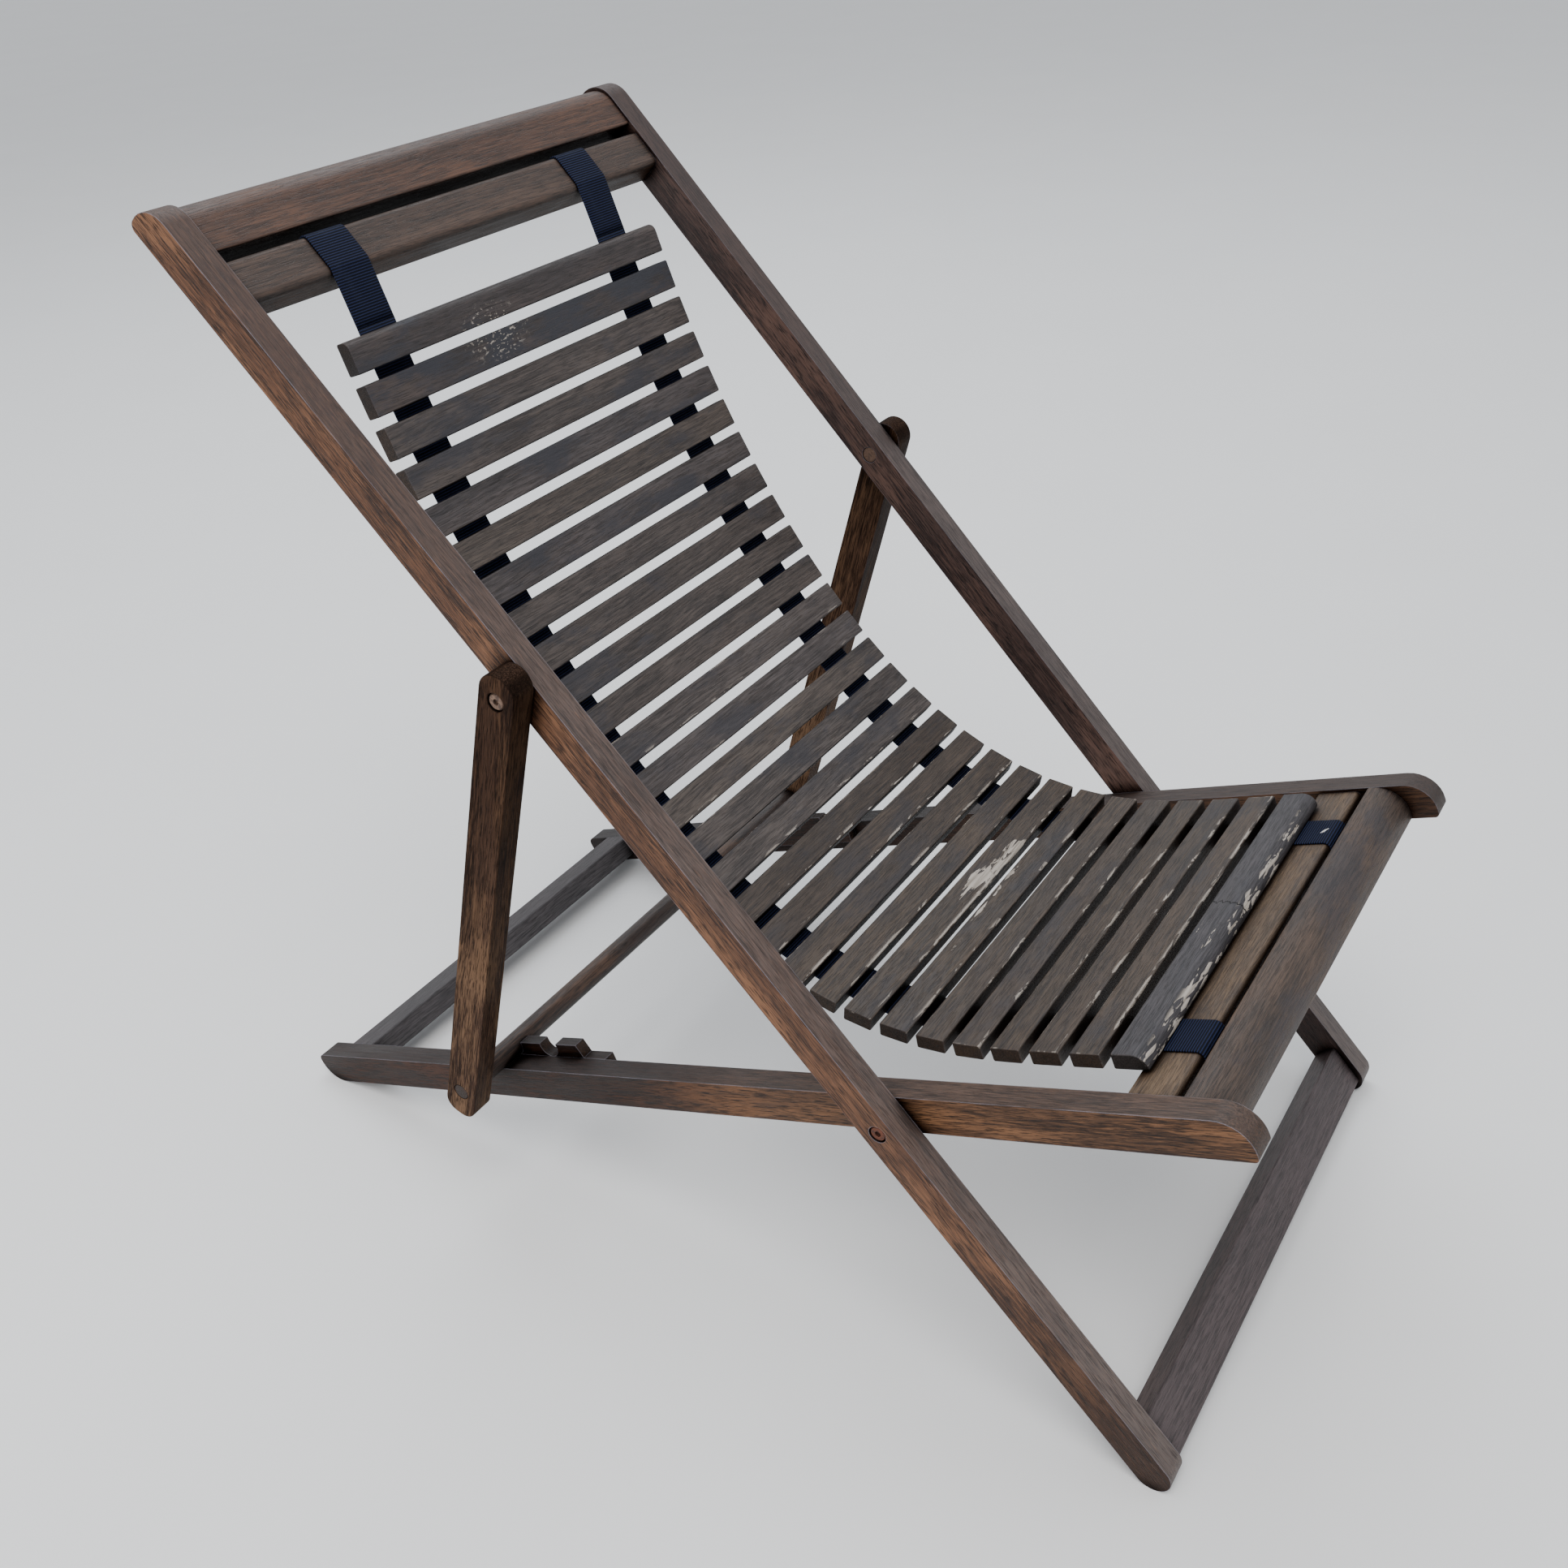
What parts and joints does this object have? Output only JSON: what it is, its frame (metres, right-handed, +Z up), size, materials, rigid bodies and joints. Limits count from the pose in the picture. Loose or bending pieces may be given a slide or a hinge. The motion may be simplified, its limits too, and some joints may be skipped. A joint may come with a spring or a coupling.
{
  "type": "folding reclining sun lounger",
  "caption": "Folding hardwood deck lounger: three bolted frames and a curved mat of slats on two webbing straps, held by a prop bar in notched racks.",
  "frame": {"origin": "middle of the lounger's box at ground level, as it stands open", "axes": "+Z up, -Y towards the sitter's feet, -X the sitter's right"},
  "size_m": [0.602, 1.0248, 0.9307],
  "materials": {
    "frame_wood": "worn dark oil stain, matte",
    "rail_wood": "less weathered golden brown stain",
    "slat_wood": "worn dark varnish, peeling to grey wood at the edges",
    "webbing": "woven, matte",
    "bolt_metal": "tarnished brown",
    "small_metal": "dull, weathered",
    "dowel_wood": "bare hardwood"
  },
  "bodies": {
    "back_frame": {"back_stile_left": "frame_wood", "back_stile_right": "frame_wood", "top_rail": "frame_wood", "top_strap_rail": "frame_wood", "foot_crossbar": "frame_wood", "back_frame_dowels": "dowel_wood", "top_strap_tacks": "small_metal", "seat_pivot_bolts": "bolt_metal", "seat_pivot_nuts": "bolt_metal", "seat_pivot_washers": "small_metal", "prop_pivot_bolts": "bolt_metal", "prop_pivot_nuts": "bolt_metal", "prop_pivot_washers": "small_metal"},
    "seat_frame": {"seat_stile_left": "frame_wood", "seat_stile_right": "frame_wood", "front_rail": "frame_wood", "front_strap_rail": "rail_wood", "rear_crossbar": "frame_wood", "seat_frame_dowels": "dowel_wood", "notch_rack_left": "frame_wood", "notch_rack_right": "frame_wood", "rack_screws": "small_metal", "front_strap_tacks": "small_metal", "slat_28": "slat_wood", "strap_left": "webbing", "strap_right": "webbing"},
    "prop_frame": {"prop_leg_left": "frame_wood", "prop_leg_right": "frame_wood", "prop_bar": "frame_wood"},
    "slat_01": {"slat_01": "slat_wood"},
    "slat_02": {"slat_02": "slat_wood"},
    "slat_03": {"slat_03": "slat_wood"},
    "slat_04": {"slat_04": "slat_wood"},
    "slat_05": {"slat_05": "slat_wood"},
    "slat_06": {"slat_06": "slat_wood"},
    "slat_07": {"slat_07": "slat_wood"},
    "slat_08": {"slat_08": "slat_wood"},
    "slat_09": {"slat_09": "slat_wood"},
    "slat_10": {"slat_10": "slat_wood"},
    "slat_11": {"slat_11": "slat_wood"},
    "slat_12": {"slat_12": "slat_wood"},
    "slat_13": {"slat_13": "slat_wood"},
    "slat_14": {"slat_14": "slat_wood"},
    "slat_15": {"slat_15": "slat_wood"},
    "slat_16": {"slat_16": "slat_wood"},
    "slat_17": {"slat_17": "slat_wood"},
    "slat_18": {"slat_18": "slat_wood"},
    "slat_19": {"slat_19": "slat_wood"},
    "slat_20": {"slat_20": "slat_wood"},
    "slat_21": {"slat_21": "slat_wood"},
    "slat_22": {"slat_22": "slat_wood"},
    "slat_23": {"slat_23": "slat_wood"},
    "slat_24": {"slat_24": "slat_wood"},
    "slat_25": {"slat_25": "slat_wood"},
    "slat_26": {"slat_26": "slat_wood"},
    "slat_27": {"slat_27": "slat_wood"}
  },
  "joints": [
    {"name": "fold", "type": "hinge", "parent": "back_frame", "child": "seat_frame", "pos_m": [0, -0.22522, 0.2791], "axis": [1, 0, 0], "range_deg": [0, 67.5], "deforming": ["strap_left", "strap_right"]},
    {"name": "prop_swing", "type": "hinge", "parent": "back_frame", "child": "prop_frame", "pos_m": [0, 0.07534, 0.60481], "axis": [1, 0, 0], "range_deg": [0, 119.6]},
    {"name": "slat_01_bend", "type": "hinge", "parent": "seat_frame", "child": "slat_01", "pos_m": [0, -0.08238, 0.30001], "axis": [1, 0, 0], "range_deg": [-77.9, 0]},
    {"name": "slat_02_bend", "type": "hinge", "parent": "seat_frame", "child": "slat_02", "pos_m": [0, -0.08833, 0.29842], "axis": [1, 0, 0], "range_deg": [-77.2, 0]},
    {"name": "slat_03_bend", "type": "hinge", "parent": "seat_frame", "child": "slat_03", "pos_m": [0, -0.09413, 0.29697], "axis": [1, 0, 0], "range_deg": [-76.5, 0]},
    {"name": "slat_04_bend", "type": "hinge", "parent": "seat_frame", "child": "slat_04", "pos_m": [0, -0.09981, 0.29567], "axis": [1, 0, 0], "range_deg": [-75.7, 0]},
    {"name": "slat_05_bend", "type": "hinge", "parent": "seat_frame", "child": "slat_05", "pos_m": [0, -0.10541, 0.2945], "axis": [1, 0, 0], "range_deg": [-75, 0]},
    {"name": "slat_06_bend", "type": "hinge", "parent": "seat_frame", "child": "slat_06", "pos_m": [0, -0.11101, 0.29344], "axis": [1, 0, 0], "range_deg": [-74.2, 0]},
    {"name": "slat_07_bend", "type": "hinge", "parent": "seat_frame", "child": "slat_07", "pos_m": [0, -0.11669, 0.29249], "axis": [1, 0, 0], "range_deg": [-73.3, 0]},
    {"name": "slat_08_bend", "type": "hinge", "parent": "seat_frame", "child": "slat_08", "pos_m": [0, -0.12257, 0.29164], "axis": [1, 0, 0], "range_deg": [-72.4, 0]},
    {"name": "slat_09_bend", "type": "hinge", "parent": "seat_frame", "child": "slat_09", "pos_m": [0, -0.1288, 0.29089], "axis": [1, 0, 0], "range_deg": [-71.4, 0]},
    {"name": "slat_10_bend", "type": "hinge", "parent": "seat_frame", "child": "slat_10", "pos_m": [0, -0.13555, 0.29024], "axis": [1, 0, 0], "range_deg": [-70.2, 0]},
    {"name": "slat_11_bend", "type": "hinge", "parent": "seat_frame", "child": "slat_11", "pos_m": [0, -0.14301, 0.28972], "axis": [1, 0, 0], "range_deg": [-68.8, 0]},
    {"name": "slat_12_bend", "type": "hinge", "parent": "seat_frame", "child": "slat_12", "pos_m": [0, -0.15136, 0.28937], "axis": [1, 0, 0], "range_deg": [-67.1, 0]},
    {"name": "slat_13_bend", "type": "hinge", "parent": "seat_frame", "child": "slat_13", "pos_m": [0, -0.16079, 0.28926], "axis": [1, 0, 0], "range_deg": [-65.1, 0]},
    {"name": "slat_14_bend", "type": "hinge", "parent": "seat_frame", "child": "slat_14", "pos_m": [0, -0.17144, 0.28948], "axis": [1, 0, 0], "range_deg": [-62.7, 0]},
    {"name": "slat_15_bend", "type": "hinge", "parent": "seat_frame", "child": "slat_15", "pos_m": [0, -0.18343, 0.29015], "axis": [1, 0, 0], "range_deg": [-59.9, 0]},
    {"name": "slat_16_bend", "type": "hinge", "parent": "seat_frame", "child": "slat_16", "pos_m": [0, -0.19683, 0.29139], "axis": [1, 0, 0], "range_deg": [-56.5, 0]},
    {"name": "slat_17_bend", "type": "hinge", "parent": "seat_frame", "child": "slat_17", "pos_m": [0, -0.21168, 0.29337], "axis": [1, 0, 0], "range_deg": [-52.6, 0]},
    {"name": "slat_18_bend", "type": "hinge", "parent": "seat_frame", "child": "slat_18", "pos_m": [0, -0.22798, 0.29625], "axis": [1, 0, 0], "range_deg": [-48.2, 0]},
    {"name": "slat_19_bend", "type": "hinge", "parent": "seat_frame", "child": "slat_19", "pos_m": [0, -0.24573, 0.3002], "axis": [1, 0, 0], "range_deg": [-43.2, 0]},
    {"name": "slat_20_bend", "type": "hinge", "parent": "seat_frame", "child": "slat_20", "pos_m": [0, -0.26502, 0.30541], "axis": [1, 0, 0], "range_deg": [-37.8, 0]},
    {"name": "slat_21_bend", "type": "hinge", "parent": "seat_frame", "child": "slat_21", "pos_m": [0, -0.28606, 0.31215], "axis": [1, 0, 0], "range_deg": [-32, 0]},
    {"name": "slat_22_bend", "type": "hinge", "parent": "seat_frame", "child": "slat_22", "pos_m": [0, -0.30948, 0.32081], "axis": [1, 0, 0], "range_deg": [-26, 0]},
    {"name": "slat_23_bend", "type": "hinge", "parent": "seat_frame", "child": "slat_23", "pos_m": [0, -0.33689, 0.33218], "axis": [1, 0, 0], "range_deg": [-20, 0]},
    {"name": "slat_24_bend", "type": "hinge", "parent": "seat_frame", "child": "slat_24", "pos_m": [0, -0.36515, 0.3449], "axis": [1, 0, 0], "range_deg": [-14.9, 0]},
    {"name": "slat_25_bend", "type": "hinge", "parent": "seat_frame", "child": "slat_25", "pos_m": [0, -0.38211, 0.3529], "axis": [1, 0, 0], "range_deg": [-12.3, 0]},
    {"name": "slat_26_bend", "type": "hinge", "parent": "seat_frame", "child": "slat_26", "pos_m": [0, -0.38499, 0.35429], "axis": [1, 0, 0], "range_deg": [-11.7, 0]},
    {"name": "slat_27_bend", "type": "hinge", "parent": "seat_frame", "child": "slat_27", "pos_m": [0, -0.38344, 0.35353], "axis": [1, 0, 0], "range_deg": [-12.3, 0]}
  ],
  "couplings": [
    {"joint": "prop_swing", "follows": "fold", "ratio": 1.7683},
    {"joint": "slat_01_bend", "follows": "fold", "ratio": -1.1518},
    {"joint": "slat_02_bend", "follows": "fold", "ratio": -1.141},
    {"joint": "slat_03_bend", "follows": "fold", "ratio": -1.1302},
    {"joint": "slat_04_bend", "follows": "fold", "ratio": -1.1192},
    {"joint": "slat_05_bend", "follows": "fold", "ratio": -1.1078},
    {"joint": "slat_06_bend", "follows": "fold", "ratio": -1.096},
    {"joint": "slat_07_bend", "follows": "fold", "ratio": -1.0834},
    {"joint": "slat_08_bend", "follows": "fold", "ratio": -1.0696},
    {"joint": "slat_09_bend", "follows": "fold", "ratio": -1.0543},
    {"joint": "slat_10_bend", "follows": "fold", "ratio": -1.0367},
    {"joint": "slat_11_bend", "follows": "fold", "ratio": -1.016},
    {"joint": "slat_12_bend", "follows": "fold", "ratio": -0.99146},
    {"joint": "slat_13_bend", "follows": "fold", "ratio": -0.962},
    {"joint": "slat_14_bend", "follows": "fold", "ratio": -0.92664},
    {"joint": "slat_15_bend", "follows": "fold", "ratio": -0.88445},
    {"joint": "slat_16_bend", "follows": "fold", "ratio": -0.83468},
    {"joint": "slat_17_bend", "follows": "fold", "ratio": -0.77687},
    {"joint": "slat_18_bend", "follows": "fold", "ratio": -0.71098},
    {"joint": "slat_19_bend", "follows": "fold", "ratio": -0.63743},
    {"joint": "slat_20_bend", "follows": "fold", "ratio": -0.55718},
    {"joint": "slat_21_bend", "follows": "fold", "ratio": -0.47168},
    {"joint": "slat_22_bend", "follows": "fold", "ratio": -0.3828},
    {"joint": "slat_23_bend", "follows": "fold", "ratio": -0.29269},
    {"joint": "slat_24_bend", "follows": "fold", "ratio": -0.21787},
    {"joint": "slat_25_bend", "follows": "fold", "ratio": -0.17873},
    {"joint": "slat_26_bend", "follows": "fold", "ratio": -0.17082},
    {"joint": "slat_27_bend", "follows": "fold", "ratio": -0.17917}
  ]
}
